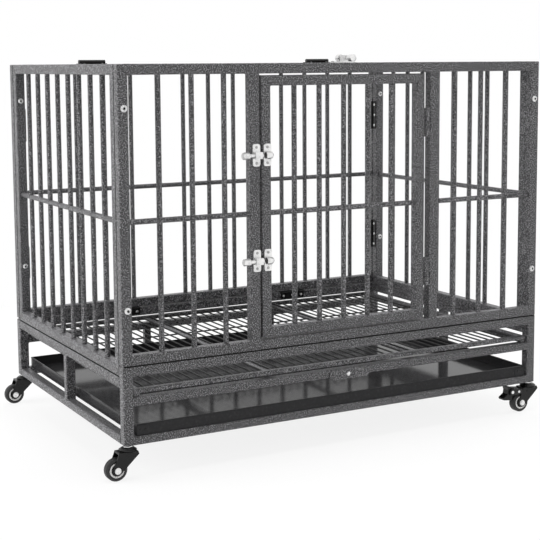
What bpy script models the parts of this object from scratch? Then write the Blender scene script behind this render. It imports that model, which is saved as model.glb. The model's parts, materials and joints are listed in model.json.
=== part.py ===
"""Steel dog cage on casters: a welded base with a slide-out floor grate and tray,
four barred wall panels, a hinged front door and a hinged lid.

Metres, +Z up, front face toward -Y, the origin on the floor under the middle of it.
"""

import math

import bmesh
import bpy
from mathutils import Matrix, Vector

for leftover in list(bpy.data.objects):
    bpy.data.objects.remove(leftover, do_unlink=True)

# Overall
WIDTH = 0.925
DEPTH = 0.614
CASTER_HEIGHT = 0.061
SEAT = 0.0003

# Square tube and round bar
TUBE = 0.019
TUBE_EDGE = 0.0015
BAR_RADIUS = 0.005
BAR_ENTRY = 0.004
BAR_SIDES = 10

# Base frame, heights above its underside
FRONT_HEIGHT = 0.1424
SIDE_HEIGHT = 0.1228
LOW_RAIL = 0.015
MID_RAIL_BOTTOM = 0.0705
SIDE_POST = 0.015
BACK_POST_SPREAD = 0.321
BACK_POST_DEPTH = 0.011

# Wall panels, heights above the base's underside
CAGE_HEIGHT = 0.6708
BACK_SEAM = 0.0021
MID_BAR_HEIGHT = 0.3965
WALL_PITCH = 0.064
WALL_BARS = 13
SIDE_PITCH = 0.060
SIDE_BARS = 8

# Doorway and door
POST_LEFT = -0.208
POST_RIGHT = 0.1905
POST_WIDTH = 0.020
DOOR_GAP_LATCH = 0.004
DOOR_GAP_HINGE = 0.0132
DOOR_GAP_ENDS = 0.003
DOOR_BARS = 5

# Lid
LID_CLEAR = 0.0015

# Door hinges
DOOR_HINGES = {"lower": 0.259, "upper": 0.5537}
BARREL_LENGTH = 0.056
BARREL_RADIUS = 0.0052
BARREL_PIN = 0.0028
BARREL_CAP = 0.003
BARREL_FIT = 0.0004
DOOR_AXIS_DEPTH = 0.002
TONGUE = 0.003
TONGUE_END = 0.002

# Slide latches
DOOR_LATCHES = {"lower": 0.3104, "upper": 0.5043}
PLATE_LENGTH = 0.041
PLATE_WIDTH = 0.0155
PLATE = 0.0015
PLATE_CORNER = 0.004
BOLT_RADIUS = 0.0036
BOLT_REACH = 0.0085
BOLT_CLEAR = 0.0004
BOLT_THROW = 0.010
BOLT_STOP = 0.001
HOUSING_HALF = 0.0062
HOUSING_WALL = 0.0012
HOUSING_INSET = 0.0004
KNOB_RADIUS = 0.0066
KNOB_LENGTH = 0.014
KNOB_EDGE = 0.0012
SOCKET_RADIUS = 0.0074
KEEPER_OFFSET = 0.003
LID_LATCH_X = 0.0

# Butt hinges
LEAF = 0.0015
LEAF_WIDTH = 0.0145
CORNER_KNUCKLE = 0.0026
CORNER_HINGE_LENGTH = 0.068
CORNER_HINGES = {"lower": 0.249, "upper": 0.543}
FOLD_HINGE_LENGTH = 0.063
FOLD_HINGE_INSET = 0.2485
LID_HINGE_LENGTH = 0.060
LID_HINGE_INSET = 0.1775
LID_KNUCKLE = 0.0046
PIN_SHARE = 0.48

# Tray
TRAY_SIDE_GAP = 0.0062
TRAY_FRONT = 0.004
TRAY_BACK = 0.013
TRAY_HEIGHT = 0.021
TRAY_SHEET = 0.0012

# Floor grate
GRATE_SIDE_GAP = 0.0025
GRATE_FRONT = 0.0045
GRATE_BACK = 0.004
GRATE_TUBE = 0.012
WIRE_RADIUS = 0.0016
WIRE_COUNT = 43
WIRE_SINK = 0.0006
CROSS_WIRE_COUNT = 2
WIRE_SIDES = 4
SUPPORT_WIDTH = 0.020
SUPPORT_DROP = 0.003
SUPPORT_TOP = 0.001
SUPPORT_SPREAD = 0.321

# Latch tab
TAB_HEIGHT = 0.0755
TAB_WIDTH = 0.019
TAB_LENGTH = 0.0915
TAB_THICK = 0.002
TAB_LONG_ARM = 0.0495
TAB_SCREW_HEAD = 0.0045
TAB_SCREW_SHANK = 0.0025
TAB_SCREW_BITE = 0.010
HOLE_CLEAR = 0.0003

# Casters
WHEEL_RADIUS = 0.0203
WHEEL_WIDTH = 0.017
TYRE_EDGE = 0.003
HUB_RADIUS = 0.0142
HUB_BOSS = 0.006
HUB_DISH = 0.0014
AXLE_RADIUS = 0.003
AXLE_HEAD = 0.0048
AXLE_HEAD_HEIGHT = 0.003
TRAIL = 0.0235
FORK_GAP = 0.0012
FORK_SHEET = 0.002
FORK_TOP = 0.0028
FORK_END = 0.009
RACE_RADIUS = 0.0165
RACE_HEIGHT = 0.0056
STEM_RADIUS = 0.004
STEM_LENGTH = 0.022
NUT_RADIUS = 0.0075
NUT_HEIGHT = 0.0032
KING_RADIUS = 0.0032
KING_HEAD = 0.005
BRAKE_WIDTH = 0.0165
BRAKE_PIVOT = (-0.010, 0.044)
BRAKE_PIN = 0.0016
ROUND = 24
SMALL_ROUND = 14

FRONT = -DEPTH / 2
BACK = DEPTH / 2
LEFT = -WIDTH / 2
RIGHT = WIDTH / 2
BASE = CASTER_HEIGHT
TOP = BASE + CAGE_HEIGHT
FRONT_SILL = BASE + FRONT_HEIGHT + SEAT
SIDE_SILL = BASE + SIDE_HEIGHT + SEAT
BACK_SILL = BASE + SIDE_HEIGHT + BACK_SEAM
MID_RAIL = BASE + MID_RAIL_BOTTOM
MID_RAIL_TOP = MID_RAIL + LOW_RAIL
MID_BAR = BASE + MID_BAR_HEIGHT
POST_INSET = TUBE / 2
OVER = 0.001
INSET = 0.0001
TURN = {"x": (0, math.pi / 2, 0), "y": (-math.pi / 2, 0, 0), "z": (0, 0, 0)}

parts = bpy.data.collections.new("dog_cage")
tools = bpy.data.collections.new("cutters")
bpy.context.scene.collection.children.link(parts)
bpy.context.scene.collection.children.link(tools)


def material(name, colour, roughness, metallic):
    """A plain coloured surface."""
    made = bpy.data.materials.new(name)
    made.use_nodes = True
    shader = made.node_tree.nodes["Principled BSDF"]
    shader.inputs["Base Color"].default_value = (*colour, 1.0)
    shader.inputs["Roughness"].default_value = roughness
    shader.inputs["Metallic"].default_value = metallic
    return made


HAMMERTONE = material("hammertone_grey", (0.13, 0.13, 0.135), 0.45, 0.35)
BLACK_STEEL = material("black_steel", (0.02, 0.02, 0.022), 0.35, 0.3)
TRAY_BLACK = material("tray_black", (0.02, 0.02, 0.024), 0.22, 0.2)
ZINC = material("bright_zinc", (0.75, 0.75, 0.74), 0.25, 1.0)
TYRE_RUBBER = material("tyre_rubber", (0.05, 0.05, 0.05), 0.6, 0.0)


def link(name, mesh, surface=None, pivot=(0, 0, 0)):
    """Link a mesh given in world metres with its origin at the pivot.

    Without a surface it is a hidden tool for a Boolean.
    """
    mesh.transform(Matrix.Translation(-Vector(pivot)))
    obj = bpy.data.objects.new(name, mesh)
    obj.location = pivot
    return shelve(obj, surface)


def shelve(obj, surface):
    """Put an object with the parts, or with the hidden tools."""
    if surface is None:
        tools.objects.link(obj)
        obj.hide_render = True
        obj.display_type = "WIRE"
    else:
        parts.objects.link(obj)
        obj.data.materials.append(surface)
    return obj


def attach(child, parent):
    """Parent a piece to one that is only moved, so that it keeps its place."""
    child.parent = parent
    child.matrix_parent_inverse = Matrix.Translation(-parent.location)


def to_mesh(name, bm):
    """Turn a bmesh of primitives into mesh data."""
    mesh = bpy.data.meshes.new(name)
    bm.to_mesh(mesh)
    bm.free()
    return mesh


def add_block(bm, low, high, matrix=None):
    """A box between two corners, in any order, placed by the matrix if given."""
    size = [abs(b - a) for a, b in zip(low, high)]
    middle = [(a + b) / 2 for a, b in zip(low, high)]
    placed = Matrix.Translation(middle) @ Matrix.Diagonal((*size, 1.0))
    if matrix is not None:
        placed = matrix @ placed
    bmesh.ops.create_cube(bm, size=1.0, matrix=placed)


def add_rod(bm, axis, start, end, radius, sides=BAR_SIDES):
    """A round rod from the start point to a coordinate further along its axis."""
    run = "xyz".index(axis)
    length = end - start[run]
    turn = {
        "x": Matrix.Rotation(math.pi / 2, 4, "Y"),
        "y": Matrix.Rotation(-math.pi / 2, 4, "X"),
        "z": Matrix.Identity(4),
    }[axis]
    bmesh.ops.create_cone(
        bm,
        cap_ends=True,
        segments=sides,
        radius1=radius,
        radius2=radius,
        depth=length,
        matrix=Matrix.Translation(start)
        @ turn
        @ Matrix.Translation((0, 0, length / 2))
        @ Matrix.Rotation(math.pi / sides, 4, "Z"),
    )


def boolean(target, operation, tool):
    """Add an exact Boolean step to the target."""
    step = target.modifiers.new(tool.name, "BOOLEAN")
    step.operation = operation
    step.solver = "EXACT"
    step.object = tool


def cut(target, name, bm):
    """Take a bmesh of primitives away from the target."""
    boolean(target, "DIFFERENCE", link(name, to_mesh(name, bm)))


def weld(target, name, bm):
    """Join a bmesh of primitives to the target."""
    boolean(target, "UNION", link(name, to_mesh(name, bm)))


def turned(name, rows, at, axis, surface=None, closed=False, sides=ROUND):
    """A turned piece: rows of (radius, height) run down its outer side."""
    points = [(radius, 0, height) for radius, height in rows]
    edges = [(k, k + 1) for k in range(len(rows) - 1)]
    if closed:
        edges.append((len(rows) - 1, 0))
    mesh = bpy.data.meshes.new(name)
    mesh.from_pydata(points, edges, [])
    obj = bpy.data.objects.new(name, mesh)
    obj.location = at
    obj.rotation_euler = TURN[axis]
    spin = obj.modifiers.new("turn", "SCREW")
    spin.axis = "Z"
    spin.angle = 2 * math.pi
    spin.steps = sides
    spin.render_steps = sides
    spin.use_merge_vertices = True
    spin.merge_threshold = 0.00001
    return shelve(obj, surface)


def sheet(name, points, low, high, frame, surface=None, pivot=(0, 0, 0)):
    """A flat outline of local x, y points, thick from low to high in local z."""
    curve = bpy.data.curves.new(name, "CURVE")
    curve.dimensions = "2D"
    curve.fill_mode = "BOTH"
    curve.extrude = (high - low) / 2
    spline = curve.splines.new("POLY")
    spline.points.add(len(points) - 1)
    for knot, (x, y) in zip(spline.points, points):
        knot.co = (x, y, 0, 1)
    spline.use_cyclic_u = True
    guide = bpy.data.objects.new(name + "_outline", curve)
    tools.objects.link(guide)
    graph = bpy.context.evaluated_depsgraph_get()
    mesh = bpy.data.meshes.new_from_object(guide.evaluated_get(graph))
    bpy.data.objects.remove(guide, do_unlink=True)
    bm = bmesh.new()
    bm.from_mesh(mesh)
    bmesh.ops.remove_doubles(bm, verts=bm.verts, dist=0.00001)
    bmesh.ops.dissolve_limit(
        bm, angle_limit=math.radians(1), verts=bm.verts, edges=bm.edges
    )
    bmesh.ops.recalc_face_normals(bm, faces=bm.faces)
    bm.to_mesh(mesh)
    bm.free()
    mesh.transform(frame @ Matrix.Translation((0, 0, (low + high) / 2)))
    if frame.determinant() < 0:
        mesh.flip_normals()
    return link(name, mesh, surface, pivot)


def arc(centre, radius, start, end, steps):
    """Points along an arc between two angles in degrees."""
    angles = [
        math.radians(start + (end - start) * k / steps) for k in range(steps + 1)
    ]
    return [
        (centre[0] + radius * math.cos(t), centre[1] + radius * math.sin(t))
        for t in angles
    ]


def spread(count, pitch):
    """Evenly pitched offsets about zero."""
    return [(k - (count - 1) / 2) * pitch for k in range(count)]


def tube_frame(name, low, high, windows, depth_axis, pivot=(0, 0, 0)):
    """Square tube frame: a slab with windows cut through it and eased edges."""
    bm = bmesh.new()
    add_block(bm, low, high)
    obj = link(name, to_mesh(name, bm), HAMMERTONE, pivot)
    run = "xyz".index(depth_axis)
    openings = bmesh.new()
    for corner, opposite in windows:
        a, b = list(corner), list(opposite)
        a.insert(run, low[run] - OVER)
        b.insert(run, high[run] + OVER)
        add_block(openings, a, b)
    cut(obj, name + "_windows", openings)
    ease = obj.modifiers.new("eased_edges", "BEVEL")
    ease.width = TUBE_EDGE
    ease.segments = 1
    ease.limit_method = "ANGLE"
    ease.angle_limit = math.radians(40)
    return obj


def weld_bars(target, run, starts, end):
    """Parallel round bars welded into a frame."""
    bars = bmesh.new()
    for start in starts:
        add_rod(bars, run, start, end, BAR_RADIUS)
    weld(target, target.name + "_bars_" + run, bars)


# Base


def base_front():
    """Front of the base: two posts and three rails round the grate and tray slots."""
    low = (LEFT, FRONT, BASE)
    high = (RIGHT, FRONT + TUBE, BASE + FRONT_HEIGHT)
    near, far = LEFT + TUBE, RIGHT - TUBE
    windows = [
        ((near, BASE + LOW_RAIL), (far, MID_RAIL)),
        ((near, MID_RAIL_TOP), (far, BASE + FRONT_HEIGHT - TUBE)),
    ]
    return tube_frame("base_front_frame", low, high, windows, "y")


def base_back():
    """Back of the base: three rails like the front's, but lower."""
    low = (LEFT, BACK - TUBE, BASE)
    high = (RIGHT, BACK, BASE + SIDE_HEIGHT)
    near, far = LEFT + TUBE, RIGHT - TUBE
    windows = [
        ((near, BASE + LOW_RAIL), (far, MID_RAIL)),
        ((near, MID_RAIL_TOP), (far, BASE + SIDE_HEIGHT - TUBE)),
    ]
    return tube_frame("base_back_frame", low, high, windows, "y")


def base_back_posts():
    """Two short posts behind the tray, between the bottom and middle rails."""
    for side, x in zip(("left", "right"), spread(2, BACK_POST_SPREAD)):
        name = "base_back_" + side + "_post"
        bm = bmesh.new()
        add_block(
            bm, (x - SIDE_POST / 2, BACK - BACK_POST_DEPTH, BASE + LOW_RAIL + SEAT),
            (x + SIDE_POST / 2, BACK - SEAT, MID_RAIL - SEAT),
        )
        link(name, to_mesh(name, bm), HAMMERTONE)


def base_side(name, outer, inner):
    """One side of the base: top rail, bottom rail and a post between them."""
    start, end = FRONT + TUBE + SEAT, BACK - TUBE - SEAT
    low = (min(outer, inner), start, BASE)
    high = (max(outer, inner), end, BASE + SIDE_HEIGHT)
    rows = (BASE + LOW_RAIL, BASE + SIDE_HEIGHT - TUBE)
    windows = [
        ((start - 2 * OVER, rows[0]), (-SIDE_POST / 2, rows[1])),
        ((SIDE_POST / 2, rows[0]), (end + 2 * OVER, rows[1])),
    ]
    return tube_frame(name, low, high, windows, "x")


# Walls


def front_wall():
    """Front panel: frame, two door posts and three bars at each end."""
    low, high = (LEFT, FRONT, FRONT_SILL), (RIGHT, FRONT + TUBE, TOP)
    sill, head = FRONT_SILL + TUBE, TOP - TUBE
    doorway = (POST_LEFT + POST_WIDTH, POST_RIGHT)
    ends = ((LEFT + TUBE, POST_LEFT), (POST_RIGHT + POST_WIDTH, RIGHT - TUBE))
    windows = [((a, sill), (b, head)) for a, b in (*ends, doorway)]
    obj = tube_frame("front_panel", low, high, windows, "y")
    middle = FRONT + TUBE / 2
    for a, b in ends:
        across = [x for x in spread(WALL_BARS, WALL_PITCH) if a < x < b]
        side = "_left" if a < 0 else "_right"
        bars = bmesh.new()
        for x in across:
            add_rod(bars, "z", (x, middle, sill - BAR_ENTRY), head + BAR_ENTRY, BAR_RADIUS)
        weld(obj, "front_panel_bars" + side, bars)
        level = bmesh.new()
        add_rod(level, "x", (a - BAR_ENTRY, middle, MID_BAR), b + BAR_ENTRY, BAR_RADIUS)
        weld(obj, "front_panel_level_bar" + side, level)
    return obj


def back_wall():
    """Back panel: frame and a full row of bars."""
    low, high = (LEFT, BACK - TUBE, BACK_SILL), (RIGHT, BACK, TOP)
    sill, head = BACK_SILL + TUBE, TOP - TUBE
    near, far = LEFT + TUBE, RIGHT - TUBE
    obj = tube_frame("back_panel", low, high, [((near, sill), (far, head))], "y")
    middle = BACK - TUBE / 2
    starts = [(x, middle, sill - BAR_ENTRY) for x in spread(WALL_BARS, WALL_PITCH)]
    weld_bars(obj, "z", starts, head + BAR_ENTRY)
    weld_bars(obj, "x", [(near - BAR_ENTRY, middle, MID_BAR)], far + BAR_ENTRY)
    return obj


def side_wall(name, outer, inner):
    """Side panel between the front and back panels."""
    start, end = FRONT + TUBE + SEAT, BACK - TUBE - BACK_SEAM
    low = (min(outer, inner), start, SIDE_SILL)
    high = (max(outer, inner), end, TOP)
    sill, head = SIDE_SILL + TUBE, TOP - TUBE
    near, far = start + TUBE, end - TUBE
    obj = tube_frame(name, low, high, [((near, sill), (far, head))], "x")
    middle = (outer + inner) / 2
    starts = [(middle, y, sill - BAR_ENTRY) for y in spread(SIDE_BARS, SIDE_PITCH)]
    weld_bars(obj, "z", starts, head + BAR_ENTRY)
    weld_bars(obj, "y", [(middle, near - BAR_ENTRY, MID_BAR)], far + BAR_ENTRY)
    return obj


# Door


def door_edges():
    """Left, bottom, right and top edges of the door."""
    return (
        POST_LEFT + POST_WIDTH + DOOR_GAP_LATCH,
        FRONT_SILL + TUBE + DOOR_GAP_ENDS,
        POST_RIGHT - DOOR_GAP_HINGE,
        TOP - TUBE - DOOR_GAP_ENDS,
    )


def door_axis():
    """A point on the door's upright hinge axis."""
    return (POST_RIGHT - DOOR_GAP_HINGE / 2, FRONT + DOOR_AXIS_DEPTH, FRONT_SILL)


def door_panel():
    """The door: a tube frame with five bars and one level bar."""
    left, under, right, over = door_edges()
    near, far, sill, head = left + TUBE, right - TUBE, under + TUBE, over - TUBE
    obj = tube_frame(
        "door", (left, FRONT, under), (right, FRONT + TUBE, over),
        [((near, sill), (far, head))], "y", door_axis(),
    )
    middle = FRONT + TUBE / 2
    centre = (left + right) / 2
    pitch = (far - near) / (DOOR_BARS + 1)
    starts = [(centre + x, middle, sill - BAR_ENTRY) for x in spread(DOOR_BARS, pitch)]
    weld_bars(obj, "z", starts, head + BAR_ENTRY)
    weld_bars(obj, "x", [(near - BAR_ENTRY, middle, MID_BAR)], far + BAR_ENTRY)
    return obj


def door_hinge(level, height, post, door):
    """Lift-off barrel hinge: pin half welded to the post, socket half to the door."""
    x, y, _ = door_axis()
    z = BASE + height
    half = BARREL_LENGTH / 2
    bore = BARREL_PIN + BARREL_FIT
    rows = [
        (0, half - BARREL_CAP - SEAT), (BARREL_PIN, half - BARREL_CAP - SEAT),
        (BARREL_PIN, -SEAT / 2), (BARREL_RADIUS, -SEAT / 2),
        (BARREL_RADIUS, -half), (0, -half),
    ]
    name = level + "_hinge_post_half"
    barrel = turned(name, rows, (x, y, z), "z")
    tongue = bmesh.new()
    reach = DOOR_GAP_HINGE / 2 + OVER
    add_block(
        tongue, (x + bore, y, z - half + TONGUE_END),
        (x + reach, y + TONGUE, z - TONGUE_END),
    )
    weld(barrel, name + "_tongue", tongue)
    boolean(post, "UNION", barrel)
    rows = [
        (0, half), (BARREL_RADIUS, half), (BARREL_RADIUS, SEAT / 2),
        (bore, SEAT / 2), (bore, half - BARREL_CAP), (0, half - BARREL_CAP),
    ]
    name = level + "_hinge_door_half"
    barrel = turned(name, rows, (x, y, z), "z")
    tongue = bmesh.new()
    add_block(
        tongue, (x - reach, y, z + TONGUE_END),
        (x - bore - BARREL_FIT, y + TONGUE, z + half - TONGUE_END),
    )
    weld(barrel, name + "_tongue", tongue)
    boolean(door, "UNION", barrel)


# Slide latches


def latch_frame(origin, slide, outward):
    """Local frame of a latch: x toward the keeper, z outward from the face."""
    s, o = Vector(slide), Vector(outward)
    axes = Matrix((s, o.cross(s), o)).transposed().to_4x4()
    return Matrix.Translation(origin) @ axes


def plate_points(low):
    """Rounded plate outline that starts at a slide position."""
    r, half, high = PLATE_CORNER, PLATE_LENGTH / 2, low + PLATE_WIDTH
    corners = (
        (high - r, half - r, 0), (low + r, half - r, 90),
        (low + r, r - half, 180), (high - r, r - half, 270),
    )
    points = []
    for x, y, start in corners:
        points += arc((x, y), r, start, start + 90, 3)
    return points


def latch_body(name, frame, gap, axis):
    """Plate and square housing that guide the bolt; gap is half the seam."""
    low = -gap - SEAT - PLATE_WIDTH
    obj = sheet(name, plate_points(low), SEAT, SEAT + PLATE, frame, ZINC)
    crown = BOLT_REACH + BOLT_RADIUS + BOLT_CLEAR + HOUSING_WALL
    box = bmesh.new()
    add_block(
        box, (low + HOUSING_INSET, -HOUSING_HALF, SEAT + PLATE / 2),
        (low + PLATE_WIDTH - HOUSING_INSET, HOUSING_HALF, crown), frame,
    )
    weld(obj, name + "_housing", box)
    at = frame @ Vector((low - OVER, 0, BOLT_REACH))
    end = (at + frame.to_3x3() @ Vector((PLATE_WIDTH + 2 * OVER, 0, 0)))
    bore = bmesh.new()
    add_rod(bore, axis, at, end["xyz".index(axis)], BOLT_RADIUS + BOLT_CLEAR, SMALL_ROUND)
    cut(obj, name + "_bore", bore)


def latch_bolt(name, frame, gap, axis):
    """Round bolt with a knob, its tip just short of the keeper at rest."""
    tip = gap - BOLT_STOP
    knob_end = -gap - 2 * SEAT - PLATE_WIDTH - BOLT_THROW
    knob_start = knob_end - KNOB_LENGTH
    reach, knob = tip - knob_start, KNOB_LENGTH
    e = KNOB_EDGE
    rows = [
        (0, reach), (BOLT_RADIUS - e, reach), (BOLT_RADIUS, reach - e),
        (BOLT_RADIUS, knob), (KNOB_RADIUS - e, knob), (KNOB_RADIUS, knob - e),
        (KNOB_RADIUS, e), (KNOB_RADIUS - e, 0), (0, 0),
    ]
    at = frame @ Vector((knob_start, 0, BOLT_REACH))
    turned(name, rows, at, axis, ZINC, sides=SMALL_ROUND)


def latch_keeper(name, frame, gap, axis, parent):
    """Keeper plate with a domed socket for the bolt."""
    low = gap + KEEPER_OFFSET
    obj = sheet(
        name, plate_points(low), SEAT, SEAT + PLATE, frame, ZINC, parent.location
    )
    length = PLATE_WIDTH - 2 * HOUSING_INSET
    r = SOCKET_RADIUS
    rows = [
        (0, length), (r * 0.5, length), (r * 0.82, length * 0.84),
        (r, length * 0.55), (r, length * 0.2), (r * 0.86, 0), (0, 0),
    ]
    at = frame @ Vector((low + HOUSING_INSET, 0, BOLT_REACH))
    boolean(obj, "UNION", turned(name + "_socket", rows, at, axis, sides=SMALL_ROUND))
    run = "xyz".index(axis)
    at = frame @ Vector((low - OVER, 0, BOLT_REACH))
    bore = bmesh.new()
    depth = BOLT_THROW + 2 * OVER
    add_rod(bore, axis, at, at[run] + depth, BOLT_RADIUS + BOLT_CLEAR, SMALL_ROUND)
    cut(obj, name + "_bore", bore)
    attach(obj, parent)


def slide_latch(name, frame, gap, axis, parent):
    """A body and bolt on the fixed side and a keeper on the moving side."""
    latch_body(name + "_latch_body", frame, gap, axis)
    latch_bolt(name + "_latch_bolt", frame, gap, axis)
    latch_keeper(name + "_latch_keeper", frame, gap, axis, parent)


# Lid


def lid_axis():
    """A point on the lid's hinge axis, above the seam at the back."""
    y = BACK - TUBE - LID_CLEAR / 2
    return (0, y, TOP + SEAT + LID_KNUCKLE)


def lid_panel():
    """The lid: a tube frame with bars from front to back and one across."""
    side = TUBE + LID_CLEAR
    left, front, right, back = LEFT + side, FRONT + side, RIGHT - side, BACK - side
    obj = tube_frame(
        "lid", (left, front, TOP - TUBE), (right, back, TOP),
        [((left + TUBE, front + TUBE), (right - TUBE, back - TUBE))], "z", lid_axis(),
    )
    z = TOP - TUBE / 2
    start, end = front + TUBE - BAR_ENTRY, back - TUBE + BAR_ENTRY
    weld_bars(obj, "y", [(x, start, z) for x in spread(WALL_BARS, WALL_PITCH)], end)
    start, end = left + TUBE - BAR_ENTRY, right - TUBE + BAR_ENTRY
    weld_bars(obj, "x", [(start, 0, z)], end)
    return obj


# Butt hinges


def leaf_frame(pin, away, normal):
    """Local frame of a leaf: y away from the pin, z off the face it lies on."""
    y, z = Vector(away), Vector(normal)
    return Matrix.Translation(pin) @ Matrix((y.cross(z), y, z)).transposed().to_4x4()


def outer_leaf_points(half, third, clear):
    """Leaf outline with a finger at each end; x along the pin, y away from it."""
    return [
        (-half, 0), (-third, 0), (-third, clear), (third, clear), (third, 0),
        (half, 0), (half, LEAF_WIDTH), (-half, LEAF_WIDTH),
    ]


def inner_leaf_points(half, third, clear):
    """Leaf outline with one finger in the middle and slightly sloped shoulders."""
    slope = clear + 0.0004
    return [
        (-half, slope), (-third, clear), (-third, 0), (third, 0), (third, clear),
        (half, slope), (half, LEAF_WIDTH), (-half, LEAF_WIDTH),
    ]


def butt_hinge(name, pin, axis, length, knuckle, outer, inner):
    """Two leaves that share a pin; it is fixed in the leaf with two knuckles.

    Each of outer and inner is (name, direction away from the pin, normal).
    """
    half, third = length / 2, length / 6
    core = knuckle * PIN_SHARE
    low, high = third + SEAT / 2, third - SEAT / 2
    rows = [
        (0, half), (knuckle, half), (knuckle, low), (core, low), (core, -low),
        (knuckle, -low), (knuckle, -half), (0, -half),
    ]
    clear = knuckle + HOLE_CLEAR
    made = turned(name + outer[0], rows, pin, axis, BLACK_STEEL, sides=SMALL_ROUND)
    plate = sheet(
        made.name + "_plate", outer_leaf_points(half - INSET, low + INSET, clear),
        INSET - knuckle, INSET + LEAF - knuckle, leaf_frame(pin, *outer[1:]),
    )
    boolean(made, "UNION", plate)
    bore = core + HOLE_CLEAR
    rows = [(0, high), (knuckle, high), (knuckle, -high), (0, -high)]
    made = turned(name + inner[0], rows, pin, axis, BLACK_STEEL, sides=SMALL_ROUND)
    plate = sheet(
        made.name + "_plate", inner_leaf_points(half - INSET, high - INSET, clear),
        INSET - knuckle, INSET + LEAF - knuckle, leaf_frame(pin, *inner[1:]),
    )
    boolean(made, "UNION", plate)
    pin_space = bmesh.new()
    run = "xyz".index(axis)
    start = list(pin)
    start[run] -= half
    add_rod(pin_space, axis, start, pin[run] + half, bore, SMALL_ROUND)
    cut(made, made.name + "_pin_space", pin_space)
    return made


def lid_hinge(side, x, lid):
    """Hinge on the back top edge: two knuckles on the wall, one on the lid."""
    _, y, z = lid_axis()
    leaf = butt_hinge(
        side + "_lid_hinge", (x, y, z), "x", LID_HINGE_LENGTH, LID_KNUCKLE,
        ("_wall_leaf", (0, 1, 0), (0, 0, 1)), ("_lid_leaf", (0, -1, 0), (0, 0, 1)),
    )
    attach(leaf, lid)


def corner_hinge(name, side, height):
    """Hinge in a back corner, folded shut while the walls are screwed together."""
    x = side * (RIGHT - TUBE - SEAT - CORNER_KNUCKLE)
    y = BACK - TUBE - SEAT - CORNER_KNUCKLE
    butt_hinge(
        name, (x, y, BASE + height), "z", CORNER_HINGE_LENGTH, CORNER_KNUCKLE,
        ("_side_leaf", (0, -1, 0), (-side, 0, 0)),
        ("_back_leaf", (side, 0, 0), (0, -1, 0)),
    )


def fold_hinge(name, x):
    """Hinge under the back panel, one leaf on the base and one in the seam."""
    y = BACK - TUBE - SEAT - CORNER_KNUCKLE
    z = BACK_SILL - SEAT - CORNER_KNUCKLE
    butt_hinge(
        name, (x, y, z), "x", FOLD_HINGE_LENGTH, CORNER_KNUCKLE,
        ("_base_leaf", (0, 0, -1), (0, -1, 0)), ("_panel_leaf", (0, 1, 0), (0, 0, -1)),
    )


# Tray, grate and latch tab


def tray():
    """Shallow sheet tray that rests on the front and back bottom rails."""
    low = (LEFT + TUBE + TRAY_SIDE_GAP, FRONT + TRAY_FRONT, BASE + LOW_RAIL + SEAT)
    high = (-low[0], BACK - TRAY_BACK, low[2] + TRAY_HEIGHT)
    bm = bmesh.new()
    add_block(bm, low, high)
    bm.normal_update()
    open_top = [face for face in bm.faces if face.normal.z > 0.5]
    bmesh.ops.delete(bm, geom=open_top, context="FACES_ONLY")
    obj = link("tray", to_mesh("tray", bm), TRAY_BLACK, (0, low[1], low[2]))
    wall = obj.modifiers.new("sheet", "SOLIDIFY")
    wall.thickness = TRAY_SHEET
    wall.offset = -1
    wall.use_even_offset = True


def floor_grate():
    """Wire floor on a tube frame with two supports, resting on the middle rails."""
    left = LEFT + TUBE + GRATE_SIDE_GAP
    front, back = FRONT + GRATE_FRONT, BACK - GRATE_BACK
    low = MID_RAIL_TOP + SEAT
    high = low + GRATE_TUBE
    rim = GRATE_TUBE
    obj = tube_frame(
        "floor_grate", (left, front, low), (-left, back, high),
        [((left + rim, front + rim), (-left - rim, back - rim))], "z", (0, front, low),
    )
    supports = bmesh.new()
    for x in spread(2, SUPPORT_SPREAD):
        add_block(
            supports,
            (x - SUPPORT_WIDTH / 2, front + rim / 2, low + SUPPORT_DROP),
            (x + SUPPORT_WIDTH / 2, back - rim / 2, high - SUPPORT_TOP),
        )
    weld(obj, "grate_supports", supports)
    level = high + WIRE_RADIUS - WIRE_SINK
    pitch = (-2 * left - rim) / (WIRE_COUNT + 1)
    start, end = front + rim * 0.25, back - rim * 0.25
    wires = bmesh.new()
    for x in spread(WIRE_COUNT, pitch):
        add_rod(wires, "y", (x, start, level), end, WIRE_RADIUS, WIRE_SIDES)
    weld(obj, "grate_wires", wires)
    cross = bmesh.new()
    depth = level - WIRE_RADIUS * 2 - SEAT
    for y in spread(CROSS_WIRE_COUNT, (back - front) / (CROSS_WIRE_COUNT + 1)):
        add_rod(
            cross, "x", (left + rim / 2, y, depth), -left - rim / 2, WIRE_RADIUS,
            WIRE_SIDES,
        )
    weld(obj, "grate_cross_wires", cross)


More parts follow.
